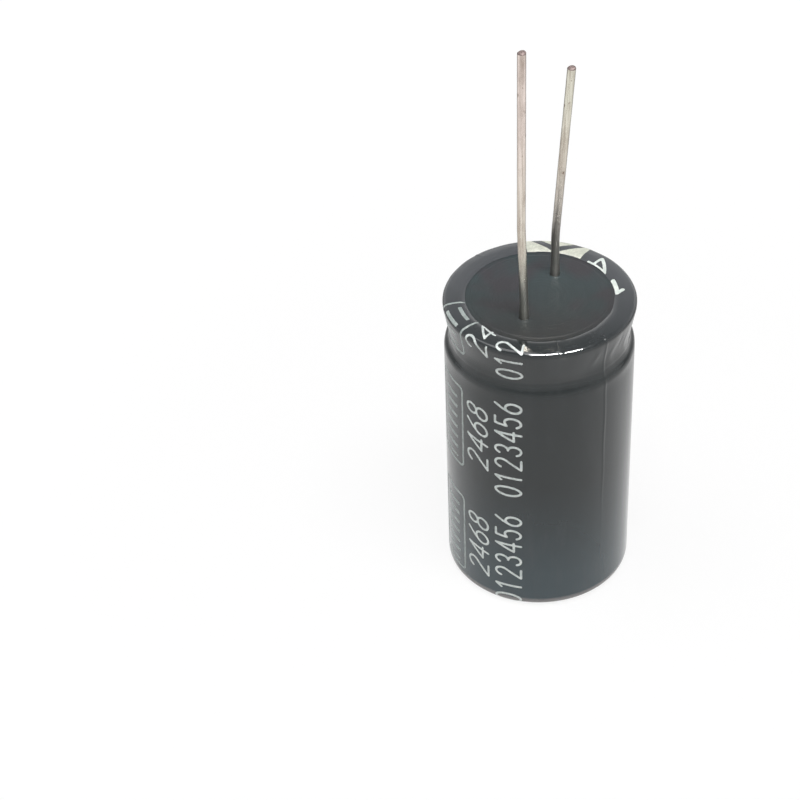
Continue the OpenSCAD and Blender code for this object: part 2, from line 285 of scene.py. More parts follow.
def ringFaces(first, second, columns):
    return [(first + k, first + (k + 1) % columns, second + (k + 1) % columns, second + k)
            for k in range(columns)]


# Faces of a side view turned round the axis; loop is True where it ends where it began
def latheFaces(rowCount, columns, loop=False):
    faces = []
    for i in range(rowCount - 1 + loop):
        faces += ringFaces(i * columns, (i + 1) % rowCount * columns, columns)
    return faces


# The two flat faces that close an open lathe
def endFaces(rowCount, columns):
    return [tuple(range(columns))[::-1], tuple((rowCount - 1) * columns + k for k in range(columns))]


# Shader work: a wire is one socket, and a sum written with wires adds its Math nodes

class Wire:
    def __init__(self, finish, socket):
        self.finish, self.socket = finish, socket

    def join(self, operation, first, second):
        return self.finish.add("ShaderNodeMath", {"operation": operation}, {0: first, 1: second})

    def __add__(self, other):
        return self.join("ADD", self, other)

    def __radd__(self, other):
        return self.join("ADD", other, self)

    def __sub__(self, other):
        return self.join("SUBTRACT", self, other)

    def __rsub__(self, other):
        return self.join("SUBTRACT", other, self)

    def __mul__(self, other):
        return self.join("MULTIPLY", self, other)

    def __rmul__(self, other):
        return self.join("MULTIPLY", other, self)

    def __truediv__(self, other):
        return self.join("DIVIDE", self, other)

    def __rtruediv__(self, other):
        return self.join("DIVIDE", other, self)

    def __pow__(self, other):
        return self.join("POWER", self, other)

    def __rpow__(self, other):
        return self.join("POWER", other, self)


class Finish:
    def __init__(self, tree):
        self.tree = tree
        tree.nodes.clear()

    def add(self, kind, settings=None, values=None, out=0):
        node = self.tree.nodes.new(kind)
        for key, value in (settings or {}).items():
            if key == "stops":
                self.setStops(node.color_ramp, value)
            else:
                setattr(node, key, value)
        for key, value in (values or {}).items():
            if isinstance(value, Wire):
                self.tree.links.new(value.socket, node.inputs[key])
            else:
                node.inputs[key].default_value = value
        return Wire(self, node.outputs[out]) if node.outputs else node

    def setStops(self, ramp, stops):
        while len(ramp.elements) < len(stops):
            ramp.elements.new(1.0)
        for element, (place, grey) in zip(ramp.elements, stops):
            element.position = place
            element.color = (grey, grey, grey, 1)

    # places in millimetres, in the frame's own axes
    def place(self, stretch=(1, 1, 1)):
        there = self.add("ShaderNodeTexCoord", out="Object")
        return self.add("ShaderNodeVectorMath", {"operation": "MULTIPLY"},
                        {0: there, 1: tuple(k / mm for k in stretch)})

    def noise(self, scale, detail=3.0, rough=0.5, stretch=(1, 1, 1), shift=0.0):
        where = self.place(stretch)
        if shift:
            away = (shift, -shift, shift)
            where = self.add("ShaderNodeVectorMath", {"operation": "ADD"}, {0: where, 1: away})
        return self.add("ShaderNodeTexNoise", {},
                        {"Vector": where, "Scale": scale, "Detail": detail, "Roughness": rough})

    def ramp(self, value, *stops):
        return self.add("ShaderNodeValToRGB", {"stops": stops}, {"Fac": value})

    # inputs 6 and 7 of the node are its two colours
    def blend(self, amount, first, second):
        return self.add("ShaderNodeMix", {"data_type": "RGBA"},
                        {"Factor": amount, 6: first, 7: second}, out=2)

    def sine(self, value):
        return self.add("ShaderNodeMath", {"operation": "SINE"}, {0: value})

    def clamp(self, value):
        return self.add("ShaderNodeClamp", {}, {"Value": value})

    def axes(self):
        parts = self.add("ShaderNodeSeparateXYZ", {}, {0: self.place()}).socket.node.outputs
        return tuple(Wire(self, parts[k]) for k in range(3))

    # from the axis, in millimetres
    def distance(self):
        x, y, _ = self.axes()
        return (x * x + y * y) ** 0.5

    # round the axis, in radians
    def angle(self):
        x, y, _ = self.axes()
        return self.add("ShaderNodeMath", {"operation": "ARCTAN2"}, {0: y, 1: x})

    # from the axis towards the part's front, in millimetres
    def frontward(self):
        x, y, _ = self.axes()
        return x * front[0] + y * front[1]

    # a bump of a height in millimetres
    def bump(self, height, depth, strength=1.0):
        return self.add("ShaderNodeBump", {},
                        {"Height": height, "Distance": depth * mm, "Strength": strength})

    def surface(self, values):
        shader = self.add("ShaderNodeBsdfPrincipled", {}, values)
        self.add("ShaderNodeOutputMaterial", {}, {"Surface": shader})


def newFinish(name):
    material = bpy.data.materials.new(name)
    material.use_nodes = True
    return material, Finish(material.node_tree)


# a colour as the eye names it, 0 to 1, turned into light
def colour(red, green, blue):
    light = (v / 12.92 if v <= 0.04045 else ((v + 0.055) / 1.055) ** 2.4 for v in (red, green, blue))
    return tuple(light) + (1,)


# Finishes

def filmFinish():
    material, f = newFinish("shrunkFilm")
    # "low" is painted bounce light, "corner" a painted highlight, and "haze" both real smears and dust and
    # a painted sheen
    look = {"deep": colour(0.055, 0.095, 0.10), "worn": colour(0.10, 0.125, 0.13),
            "low": colour(0.205, 0.27, 0.295), "dustAndSheen": colour(0.29, 0.30, 0.315),
            "corner": colour(0.52, 0.505, 0.50), "bounceReach": 16, "sheenTurn": 1.97, "roughness": 0.10,
            "scuff": 0.08, "peel": 0.0016, "drag": 0.008, "ripple": 0.016, "pit": 0.0012}
    cloudy = f.noise(0.16, 2.0)
    speck = f.ramp(f.noise(2.6, 5.0, 0.62), (0.60, 0.0), (0.74, 1.0))
    rubbed = f.ramp(f.noise(0.55, 4.0, 0.7, (1, 1, 0.35), 9.0), (0.56, 0.0), (0.80, 1.0))
    peel = f.noise(1.9, 2.0)
    drag = f.noise(0.42, 3.0, 0.5, (1, 1, 0.18), 4.0)
    ripple = f.noise(0.30, 2.0, 0.5, (1, 1, 0.45), 6.0)
    smear = f.ramp(f.noise(0.34, 5.0, 0.7, (1, 1, 0.22), 12.0), (0.50, 0.0), (0.80, 1.0))
    dust = f.ramp(f.noise(6.5, 2.0, 0.5, (1, 1, 1), 2.0), (0.73, 0.0), (0.79, 1.0))
    height = peel * look["peel"] + drag * look["drag"] + ripple * look["ripple"] - speck * look["pit"]
    # the film is painted lighter and bluer low down as bounce light, lighter on top of the rim away from
    # the front as a painted sheen, and with a pale line at its foot as a painted highlight
    z = f.axes()[2]
    base = f.blend(f.clamp(cloudy * 0.7 + rubbed * 0.3), look["deep"], look["worn"])
    lowPaintedLight = f.ramp(z / look["bounceReach"] + cloudy * 0.1,
                     (0.10, 0.85), (0.30, 0.75), (0.65, 0.32), (1.0, 0.0))
    base = f.blend(lowPaintedLight, base, look["low"])
    # painted sheen: the top of the rim is lighter on the side away from the front
    onTop = f.ramp(z - sleeveHigh.z + 1.0, (0.35, 0.0), (0.75, 1.0))
    paintedSheen = f.clamp(f.sine(f.angle() - look["sheenTurn"]) * 0.7 + 0.5 + cloudy * 0.5)
    base = f.blend(onTop * paintedSheen, base, look["dustAndSheen"])
    # painted highlight: a pale line round the corner at the film's foot
    base = f.blend(f.ramp(z + speck * 0.2 - cloudy * 0.2, (0.66, 0.78), (0.92, 0.0)), base, look["corner"])
    # real smears and dust, in the same grey as the painted sheen
    base = f.blend(f.clamp(smear * 0.26 + dust * 0.6), base, look["dustAndSheen"])
    f.surface({
        "Base Color": base,
        "Roughness": look["roughness"] + rubbed * look["scuff"] + speck * 0.08 + cloudy * 0.05,
        "Normal": f.bump(height, 1.0),
        "IOR": 1.5, "Specular IOR Level": 0.5, "Coat Weight": 0.25, "Coat Roughness": 0.05})
    return material


def inkFinish(name, light, shade, roughness):
    material, f = newFinish(name)
    mottle = f.noise(1.1, 5.0, 0.65)
    grain = f.noise(7.0, 3.0, 0.6, (1, 1, 1), 3.0)
    thin = f.ramp(mottle * 0.6 + grain * 0.4, (0.42, 1.0), (0.60, 0.0))
    f.surface({
        "Base Color": f.blend(thin, light, shade),
        "Roughness": roughness + grain * 0.14,
        "Normal": f.bump(grain * 0.6 + mottle * 0.4, 0.004),
        "IOR": 1.48, "Coat Weight": 0.12, "Coat Roughness": 0.2})
    return material


def rubberFinish():
    material, f = newFinish("sealRubber")
    look = {"dark": colour(0.07, 0.08, 0.08), "pale": colour(0.145, 0.20, 0.21),
            "plum": colour(0.175, 0.17, 0.19), "ringPitch": 0.42, "frontShadeReach": 9}
    rings = f.sine(f.distance() * (2 * math.pi / look["ringPitch"]) + f.noise(0.3, 2.0) * 3.0)
    pits = f.noise(5.5, 4.0, 0.6)
    dust = f.ramp(f.noise(1.3, 5.0, 0.7, (1, 1, 1), 6.0), (0.50, 0.0), (0.82, 1.0))
    patches = f.ramp(f.noise(0.22, 2.0, 0.5, (1, 1, 1), 3.0), (0.46, 0.0), (0.60, 1.0))
    tone = f.blend(patches, look["pale"], look["plum"])
    # painted shade: it is darker towards the part's front, and dust and pits pale it at random
    frontShadeAndDust = 0.62 - f.frontward() / look["frontShadeReach"] + f.noise(0.3, 3.0) * 0.3
    f.surface({
        "Base Color": f.blend(f.clamp(frontShadeAndDust * (0.8 + dust * 0.3 + pits * 0.2)), look["dark"], tone),
        "Roughness": 0.48 + dust * 0.14 + rings * 0.02,
        "Normal": f.bump(rings * 0.0009 + pits * 0.006, 1.0),
        "IOR": 1.5, "Specular IOR Level": 0.4, "Sheen Weight": 0.05, "Sheen Roughness": 0.4})
    return material


def wireFinish():
    material, f = newFinish("tinnedWire")
    # "root" is the grey of the painted reflection near the weld
    look = {"warm": colour(0.90, 0.845, 0.815), "pale": colour(0.87, 0.86, 0.80),
            "dull": colour(0.58, 0.52, 0.47), "root": colour(0.46, 0.465, 0.45),
            "rootShadeReach": 15.4, "rootShadeLean": 0.8, "paleFrom": 12, "paleReach": 70}
    x, _, z = f.axes()
    drawn = f.ramp(f.noise(4.5, 3.0, 0.6, (1, 1, 0.025)), (0.40, 0.0), (0.66, 1.0))
    stain = f.ramp(f.noise(0.8, 5.0, 0.65, (1, 1, 0.35), 5.0), (0.50, 0.0), (0.74, 1.0))
    nicks = f.ramp(f.noise(2.3, 2.0, 0.5, (1, 1, 0.5), 7.0), (0.66, 0.0), (0.72, 1.0))
    grain = f.noise(8.0, 3.0, 0.6, (1, 1, 0.5), 2.0)
    # painted reflection: the tin is darker grey near the weld, where the dark seal is mirrored in it, and
    # further up on the negative lead
    rise = z - sealHigh.z
    lowPaintedLight = f.ramp(rise / (look["rootShadeReach"] - x * look["rootShadeLean"]) + (grain - 0.5) * 0.16,
                     (0.26, 1.0), (0.68, 0.0))
    # the positive lead is yellower low down, and the negative one at its top
    paler = f.noise(0.12, 2.0, 0.5) * 0.6 + 0.25 + x * (look["paleFrom"] - rise) / look["paleReach"]
    tin = f.blend(f.clamp(paler), look["warm"], look["pale"])
    tin = f.blend(f.clamp(drawn * 0.45 + stain * 0.5 + nicks * 0.7), tin, look["dull"])
    f.surface({
        "Base Color": f.blend(lowPaintedLight * (0.86 + stain * 0.14), tin, look["root"]),
        "Metallic": 0.96 - stain * 0.12 - nicks * 0.2,
        "Roughness": 0.17 + stain * 0.16 + grain * 0.06 + lowPaintedLight * 0.10,
        "Normal": f.bump(drawn * 0.6 + grain * 0.4 - nicks * 0.8, 0.014)})
    return material


# the sheared end shows the copper under the tin
def cutFinish():
    material, f = newFinish("shearedCopper")
    smear = f.noise(6.0, 4.0, 0.6, (1, 0.3, 1))
    f.surface({
        "Base Color": f.blend(smear, colour(0.52, 0.46, 0.445), colour(0.36, 0.31, 0.305)),
        "Metallic": 0.35, "Roughness": 0.60 + smear * 0.2, "Normal": f.bump(smear, 0.012),
        "Specular IOR Level": 0.25})
    return material


# rolled or drawn sheet: fine lines round the axis, with a little clouding
def metalFinish(name, light, shade, roughness, brushPitch, depth, pitted=0.0):
    material, f = newFinish(name)
    z = f.axes()[2]
    lines = f.sine((f.distance() + z) * (2 * math.pi / brushPitch) + f.noise(0.8, 3.0) * 5.0)
    cloud = f.noise(0.7, 4.0, 0.6)
    grain = f.noise(9.0, 4.0, 0.7)
    f.surface({
        "Base Color": f.blend(f.clamp(cloud * 0.8 + grain * pitted), light, shade),
        "Metallic": 1.0,
        "Roughness": roughness + cloud * 0.10 + grain * pitted * 0.3,
        "Normal": f.bump(lines * (1 - pitted) * 0.5 + grain * (0.3 + pitted), depth)})
    return material


def paperFinish(name, light, shade, sheen):
    material, f = newFinish(name)
    fibres = f.noise(3.5, 5.0, 0.7, (1, 1, 0.25))
    pulp = f.noise(1.0, 4.0, 0.6, (1, 1, 1), 8.0)
    f.surface({
        "Base Color": f.blend(f.clamp(fibres * 0.5 + pulp * 0.5), light, shade),
        "Roughness": 0.88 - pulp * sheen,
        "Normal": f.bump(fibres, 0.01)})
    return material


# The sleeve

# Angles of the film's columns, which lie closer together at the two folds
def filmColumns():
    plain = np.linspace(0, 2 * math.pi, film["columns"], endpoint=False)
    near = np.linspace(-film["foldReach"], film["foldReach"], film["foldColumns"])
    folds = [math.radians(film["foldTurn"]) + side + near for side in (0, math.pi)]
    return np.unique(np.concatenate([plain] + folds) % (2 * math.pi))


def makeSleeve(finish):
    u = filmColumns()
    columns = len(u)
    last = len(rowWay) - 1
    innerPick = np.unique(np.concatenate([np.arange(0, last, film["innerEvery"]), [last]]))
    thinner = film["thinEdge"] * np.maximum(freeEdge(outerRows), crownFall(outerRows))
    depth = film["thickness"] * (1 - thinner)
    rows = [onFilm(u, np.full(columns, s)) for s in rowWay]
    edge = len(rows)
    for i in innerPick[::-1]:
        rows.append(onFilm(u, np.full(columns, rowWay[i]), -depth[i]))
    faces = latheFaces(len(rows), columns, loop=True)
    piece = makeObject("shrink_sleeve", np.concatenate(rows), faces, finish)
    ends = {edge - 1, edge, 0, len(rows) - 1}
    for line in piece.data.edges:
        a, b = (v // columns for v in line.vertices)
        line.use_edge_sharp = a == b and a in ends
    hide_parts("sleeve")
    return piece


# Ink: a drawing is a field over (u, s), in millimetres, that is below zero inside its shapes

# "root" and "lift" are its two faces above the film's, and a grid goes past its shapes by the spares
ink = {"lift": 0.013, "root": -0.02, "filmRadius": 9.13, "step": 0.085, "trim": 0.06, "tremble": 0.6,
       "margin": 0.1, "spare": 0.4, "lastSpare": 0.6}
farOut = 9.0               # what a field says well outside its shapes


# The field's shapes as closed flakes that follow the film
def inkPiece(name, patches, finish):
    points, faces = [], []
    for us, ss, field in patches:
        flakes(us, ss, field, points, faces)
    top = np.array(points)
    upper = onFilm(top[:, 0], top[:, 1], ink["lift"])
    lower = onFilm(top[:, 0], top[:, 1], ink["root"])
    count = len(points)
    used = {}
    closed = []
    for face in faces:
        closed.append(face)
        closed.append(tuple(count + v for v in reversed(face)))
        for a, b in zip(face, face[1:] + face[:1]):
            if (b, a) in used:
                del used[(b, a)]
            else:
                used[(a, b)] = True
    for a, b in used:
        closed.append((b, a, count + a, count + b))
    piece = makeObject(name, np.concatenate([upper, lower]), closed, finish)
    outline = {frozenset(pair) for pair in used}
    for line in piece.data.edges:
        a, b = line.vertices
        line.use_edge_sharp = frozenset((a, b)) in outline or frozenset((a - count, b - count)) in outline
    return piece


# Cuts the inside of a field out of its grid
def flakes(us, ss, field, points, faces):
    inside = field < 0
    corners, crossings = {}, {}

    def corner(i, j):
        if (i, j) not in corners:
            corners[i, j] = len(points)
            points.append((us[i], ss[j]))
        return corners[i, j]

    def crossing(a, b):
        key = (min(a, b), max(a, b))
        if key not in crossings:
            va, vb = field[a], field[b]
            t = min(0.98, max(0.02, va / (va - vb)))    # never quite at a corner
            crossings[key] = len(points)
            points.append((us[a[0]] + t * (us[b[0]] - us[a[0]]), ss[a[1]] + t * (ss[b[1]] - ss[a[1]])))
        return crossings[key]

    touched = inside[:-1, :-1] | inside[1:, :-1] | inside[:-1, 1:] | inside[1:, 1:]
    for i, j in zip(*np.nonzero(touched)):
        i, j = int(i), int(j)
        loop = ((i, j), (i + 1, j), (i + 1, j + 1), (i, j + 1))
        face = []
        for a, b in zip(loop, loop[1:] + loop[:1]):
            if inside[a]:
                face.append(corner(*a))
            if inside[a] != inside[b]:
                face.append(crossing(a, b))
        faces.append(tuple(face))


def grid(uMiddle, uHalf, sLow, sHigh, step):
    turn = step / ink["filmRadius"]
    us = np.arange(uMiddle - uHalf, uMiddle + uHalf + turn, turn)
    ss = np.arange(sLow, sHigh + step, step)
    return us, ss, np.meshgrid(us, ss, indexing="ij")


# The stripe, with its arrows and minus bars cut out of it

stripe = {"middle": 191.0, "width": 43.0, "rise": 2.6, "line": 1.25, "pitch": 18.0, "arrowDrop": 16.5,
          "rimRise": 1.75, "rimLine": 0.8, "rimCut": 0.3, "barLength": 5.0, "barWidth": 1.0, "step": 0.115,
          "trim": 0.05, "spareTurn": 0.02}


# Two small waves, in millimetres, that keep printed edges from being as straight as a rule
def edgeTremble(u, s):
    return 0.008 * np.sin(u * 90 + 3 * np.sin(s * 1.3)) + 0.007 * np.sin(s * 7.7 + 5 * np.sin(u * 13))


def makeStripe(finish):
    middle, half = math.radians(stripe["middle"]), math.radians(stripe["width"] / 2)
    reach = canRadius + film["lift"]
    margin = ink["margin"]
    us, ss, (u, s) = grid(middle, half + stripe["spareTurn"], -margin, filmLength + margin, stripe["step"])
    r = np.interp(s, rowWay, outerRows[:, 0])
    z = np.interp(s, rowWay, outerRows[:, 1])
    across = r * np.sin(u - middle)
    out = r * np.cos(u - middle)
    halfWidth = reach * math.sin(half)
    field = (np.abs(u - middle) - half) * ink["filmRadius"]
    field = np.maximum(field, stripe["trim"] - s)
    field = np.maximum(field, s - filmLength + stripe["trim"])
    # the side's arrow points up, and the rim's points to the axis
    arrows = ((canHigh.z - stripe["arrowDrop"] - z, stripe["rise"] / halfWidth, stripe["line"], z < beadZ),
              (out - film["sealOpening"], stripe["rimRise"] / halfWidth, stripe["rimLine"],
               z > canHigh.z - stripe["rimCut"]))
    for depth, fall, line, there in arrows:
        depth = depth - np.abs(across) * fall
        steep = math.cos(math.atan(fall))
        arrow = np.where(there, (np.abs(depth - line / 2) - line / 2) * steep, farOut)
        field = np.maximum(field, -arrow)
    onSide = z < beadZ
    barMiddle = canHigh.z - stripe["arrowDrop"] - (stripe["rise"] + stripe["line"]) / 2
    for side in (-1, 1):
        barAway = np.abs(z - barMiddle - side * stripe["pitch"] / 2) - stripe["barLength"] / 2
        bar = np.maximum(barAway, np.abs(across) - stripe["barWidth"] / 2)
        field = np.maximum(field, np.where(onSide, -bar, -farOut))
    piece = inkPiece("polarity_ink", [(us, ss, field + edgeTremble(u, s))], finish)
    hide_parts("polarity_stripe")
    return piece


# Plain digits, drawn as strokes in a box one high, x along the reading way and y up

drawnWidth = 0.56          # of most digits below, which "width" stretches


def curve(cx, cy, rx, ry, start, stop, count=14):
    angles = np.radians(np.linspace(start, stop, count + 1))
    return [(cx + rx * math.cos(a), cy + ry * math.sin(a)) for a in angles]


digitStrokes = {
    "0": [curve(0.28, 0.5, 0.28, 0.5, 0, 360, 28)],
    "1": [[(0.06, 0.78), (0.28, 1.0), (0.28, 0.0)]],
    "2": [curve(0.28, 0.74, 0.27, 0.26, 170, -32) + [(0.0, 0.0), (0.56, 0.0)]],
    "3": [curve(0.27, 0.75, 0.25, 0.25, 160, -90), curve(0.27, 0.25, 0.28, 0.25, 90, -160)],
    "4": [[(0.44, 0.0), (0.44, 1.0), (0.0, 0.28), (0.58, 0.28)]],
    "5": [[(0.52, 1.0), (0.1, 1.0), (0.04, 0.55)] + curve(0.26, 0.32, 0.29, 0.31, 128, -150)],
    "6": [curve(0.29, 0.3, 0.28, 0.3, 0, 360, 22), [(0.46, 1.0), (0.2, 0.7), (0.03, 0.4)]],
    "7": [[(0.0, 1.0), (0.56, 1.0), (0.2, 0.0)]],
    "8": [curve(0.28, 0.76, 0.23, 0.24, 0, 360, 20), curve(0.28, 0.26, 0.28, 0.26, 0, 360, 22)],
    "9": [curve(0.28, 0.7, 0.28, 0.3, 0, 360, 22), [(0.55, 0.62), (0.38, 0.28), (0.12, 0.0)]],
}


def lineDistance(x, y, a, b):
    ax, ay = b[0] - a[0], b[1] - a[1]
    t = np.clip(((x - a[0]) * ax + (y - a[1]) * ay) / (ax * ax + ay * ay), 0, 1)
    return np.hypot(x - a[0] - t * ax, y - a[1] - t * ay)


# Distance from the digits' strokes; x runs along s and y against u
def digitField(x, y, text, height, width, pitch, weight, slant):
    field = np.full(x.shape, farOut)
    for place, letter in enumerate(text):
        for stroke in digitStrokes[letter]:
            dots = [(place * pitch + (px * width / drawnWidth + slant * py) * height, py * height)
                    for px, py in stroke]
            for a, b in zip(dots, dots[1:]):
                field = np.minimum(field, lineDistance(x, y, a, b) - weight / 2)
    return field


# Columns of plain counting digits, which read up the can and run over its rim
digitColumns = {
    "narrow_digits": {"text": "0123456", "from": 12.4, "height": 2.62, "width": 0.40, "pitch": 1.72,
                      "weight": 0.24, "slant": 0.0, "starts": (1.8, 15.95, 30.2), "ink": "printInk"},
    "slanted_digits": {"text": "2468", "from": -9.6, "height": 2.45, "width": 0.52, "pitch": 1.95,
                       "weight": 0.235, "slant": 0.22, "starts": (4.4, 18.3, 32.2), "ink": "printInk"},
    "large_digits": {"text": "12345", "from": 131.0, "height": 2.6, "width": 0.55, "pitch": 2.1,
                     "weight": 0.42, "slant": 0.0, "starts": (-1.25, 16.75, 34.75), "ink": "boldInk"},
    "tall_digits": {"text": "4567", "from": 162.0, "height": 3.1, "width": 0.50, "pitch": 2.4,
                    "weight": 0.34, "slant": 0.0, "starts": (-1.55, 16.45, 34.45), "ink": "boldInk"},
}
digitMiddle = 0.45         # of its pitch: a digit whose middle lies past the film's edge is left out
leastPatch = 0.8           # a patch shorter than this is left out


def makeDigits(name, finish):
    run = digitColumns[name]
    spare, margin = ink["spare"], ink["margin"]
    base = math.radians(run["from"])
    half = run["height"] / ink["filmRadius"] / 2
    patches = []
    for start in run["starts"]:
        text = "".join(letter for place, letter in enumerate(run["text"])
                       if start + (place + digitMiddle) * run["pitch"] < filmLength)
        length = len(text) * run["pitch"] + ink["lastSpare"]
        low, high = max(0.0, start - spare), min(filmLength, start + length + spare)
        if high - low < leastPatch:
            continue
        us, ss, (u, s) = grid(base - half, half + spare / ink["filmRadius"], low - margin, high + margin,
                              ink["step"])
        x, y = s - start, (base - u) * ink["filmRadius"]
        field = digitField(x, y, text, run["height"], run["width"], run["pitch"],
                           run["weight"], run["slant"])
        patches.append((us, ss, trimmed(field, u, s)))
    return inkPiece(name, patches, finish)


# A printed field cut at the film's two ends, with the slight tremble of its edges
def trimmed(field, u, s):
    field = np.maximum(field, ink["trim"] - s)
    field = np.maximum(field, s - filmLength + ink["trim"])
    return field + ink["tremble"] * edgeTremble(u, s)


# A ruled frame with rungs, in the band beside the digits
rungs = {"middle": -43.5, "width": 27.0, "length": 9.7, "starts": (3.2, 16.9, 30.6), "line": 0.24,
         "rungLine": 0.36, "rungPitch": 1.25, "rungLength": 2.5, "round": 0.5, "spareTurn": 0.05}


def makeRungs(finish):
    middle = math.radians(rungs["middle"])
    half = math.radians(rungs["width"] / 2) * ink["filmRadius"]
    halfLength = rungs["length"] / 2
    patches = []
    for start in rungs["starts"]:
        top = min(start + rungs["length"] + ink["spare"], filmLength + ink["margin"])
        us, ss, (u, s) = grid(middle, half / ink["filmRadius"] + rungs["spareTurn"],
                              start - ink["spare"], top, ink["step"])
        x, y = np.abs(s - start - halfLength), np.abs(u - middle) * ink["filmRadius"]
        dx, dy = x - halfLength + rungs["round"], y - half + rungs["round"]
        outline = np.hypot(np.maximum(dx, 0), np.maximum(dy, 0)) + np.minimum(np.maximum(dx, dy), 0)
        frameLine = np.abs(outline - rungs["round"]) - rungs["line"] / 2
        place = (s - start) % rungs["rungPitch"] - rungs["rungPitch"] / 2
        rung = np.maximum(np.abs(place) - rungs["rungLine"] / 2, y - rungs["rungLength"] / 2)
        rung = np.maximum(rung, x - halfLength + rungs["rungPitch"] / 2)
        patches.append((us, ss, trimmed(np.minimum(frameLine, rung), u, s)))
    return inkPiece("ruled_band", patches, finish)


# The rubber seal, with a stepped hole for each lead

# "skin" is how far it lies inside the can's face, and "land" how deep the moulded step is
seal = {"skin": 0.37, "chamfer": 0.4, "bridgeRadius": 0.7, "lipX": 7.7, "slope": 0.25, "land": 0.05,
        "stepRadius": 6.55, "stepOut": 0.06, "stepIn": 0.02, "ringPitch": 0.5, "ringHeight": 0.0015,
        "ringFade": 0.4, "columns": 288, "underCentre": 0.6, "underStep": 1.2, "sideStep": 0.4,
        "edgeStep": 0.3, "landStep": 0.12, "faceStep": 0.1, "faceCentre": 0.1,
        "leadX": 3.75, "collar": 0.05, "collarOut": 0.08, "collarReach": 0.13, "holeRadius": 0.475,
        "holeSides": 64, "bossRadius": 1.12, "weldZ": 30.52, "cutterSpare": 1, "sharpTurn": 40,
        "faceDepth": 0.01, "ringWander": 0.4}


def makeSeal(finish):
    low, high = sealLow.z, sealHigh.z
    outer = canRadius - seal["skin"]
    inset = outer - seal["chamfer"]
    landZ = high - seal["land"]
    lipX, step, fine = seal["lipX"], seal["stepRadius"], seal["faceStep"]
    bead = neckRows(-seal["skin"], seal["bridgeRadius"], seal["edgeStep"])
    rows = joinRows(
        lineRow((seal["underCentre"], low), (inset, low), seal["underStep"]),
        lineRow((inset, low), (outer, low + seal["chamfer"]), seal["edgeStep"]),
        lineRow((outer, low + seal["chamfer"]), bead[0], seal["sideStep"]), bead,
        lineRow(bead[-1], (lipX, bead[-1][1]), 2 * fine),
        lineRow((lipX, bead[-1][1]), (lipX - seal["slope"], landZ), fine),
        lineRow((lipX - seal["slope"], landZ), (step + seal["stepOut"], landZ), seal["landStep"]),
        lineRow((step - seal["stepIn"], high), (seal["faceCentre"], high), fine))
    columns = seal["columns"]
    u = np.linspace(0, 2 * math.pi, columns, endpoint=False)
    r, turn = np.meshgrid(rows[:, 0], u, indexing="ij")
    z = np.repeat(rows[:, 1][:, None], columns, axis=1)
    x, y = r * np.cos(turn), r * np.sin(turn)
    face = z > high - seal["faceDepth"]
    wobble = seal["ringWander"] * np.sin(2 * turn)
    ring = seal["ringHeight"] * (np.sin(r * 2 * math.pi / seal["ringPitch"] + wobble) - 1)
    raised = 0
    for side in (-seal["leadX"], seal["leadX"]):
        away = np.hypot(x - side, y) - seal["holeRadius"] - seal["collarOut"]
        raised = raised + hump(away / seal["collarReach"])
    z = z + np.where(face, ring * np.clip((step - r) / seal["ringFade"], 0, 1) + seal["collar"] * raised, 0)
    points = np.stack([x, y, z], axis=-1).reshape(-1, 3) * mm
    faces = latheFaces(len(rows), columns) + endFaces(len(rows), columns)
    piece = makeObject("rubber_seal", points, faces, finish)
    cutters = []
    for side in (-seal["leadX"], seal["leadX"]):
        steps = [(seal["bossRadius"], low - seal["cutterSpare"]), (seal["bossRadius"], seal["weldZ"]),
                 (seal["holeRadius"], seal["weldZ"]), (seal["holeRadius"], high + seal["cutterSpare"])]
        cutters.append(makeCutter(side, steps, seal["holeSides"]))
    for cutter in cutters:
        cut = piece.modifiers.new("hole", "BOOLEAN")
        cut.operation, cut.solver, cut.object = "DIFFERENCE", "EXACT", cutter
    keepResult(piece)
    for cutter in cutters:
        bpy.data.objects.remove(cutter)
    softenEdges(piece, seal["sharpTurn"])
    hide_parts("end_seal")
    return piece


def makeCutter(side, steps, sides):
    turn = np.linspace(0, 2 * math.pi, sides, endpoint=False)
    points = [((side + r * math.cos(a)) * mm, r * math.sin(a) * mm, z * mm) for r, z in steps for a in turn]
    faces = latheFaces(len(steps), sides) + endFaces(len(steps), sides)
    mesh = bpy.data.meshes.new("cutter")
    mesh.from_pydata(points, [], faces)
    cutter = bpy.data.objects.new("cutter", mesh)
    bpy.context.scene.collection.objects.link(cutter)
    return cutter


def keepResult(piece):
    bpy.context.view_layer.update()
    result = bpy.data.meshes.new_from_object(piece.evaluated_get(bpy.context.evaluated_depsgraph_get()))
    piece.modifiers.clear()
    piece.data = result


# smooth faces, with the edges that turn by more than an angle kept crisp
def softenEdges(piece, angle):
    shape = bmesh.new()
    shape.from_mesh(piece.data)
    for edge in shape.edges:
        edge.smooth = len(edge.link_faces) == 2 and edge.calc_face_angle(0) < math.radians(angle)
    for face in shape.faces:
        face.smooth = True
    shape.to_mesh(piece.data)
    shape.free()


# The leads: a welded root, a kink, then a straight end

lead = {"radius": 0.4, "weldRadius": 0.46, "weldZ": 30.5, "weldSunk": 1.3, "weldRise": 1.4, "weldRows": 12,
        "kinkTurn": 117.0, "bendRadius": 25.0, "bendRows": 10, "sides": 40, "step": 0.22, "chamfer": 0.20,
        "tipRows": 6, "tipFlat": 0.12, "sharpTurn": 50,
        "lumps": (0.008, 5.3, 2.1), "uneven": (0.003, 1.9)}    # heights, then radians per millimetre
# "runs" are (slant in degrees, length), where the last run goes on to the lead's height above the seal
leads = {
    "positive": {"x": seal["leadX"], "height": 28.5, "runs": ((0, 1.1), (-1.9, 7.0), (0, None)),
                 "seed": 5, "cut": 0.07},
    "negative": {"x": -seal["leadX"], "height": 22.8, "runs": ((0, 3.0), (4.0, None)),
                 "seed": 8, "cut": 0.05},
}


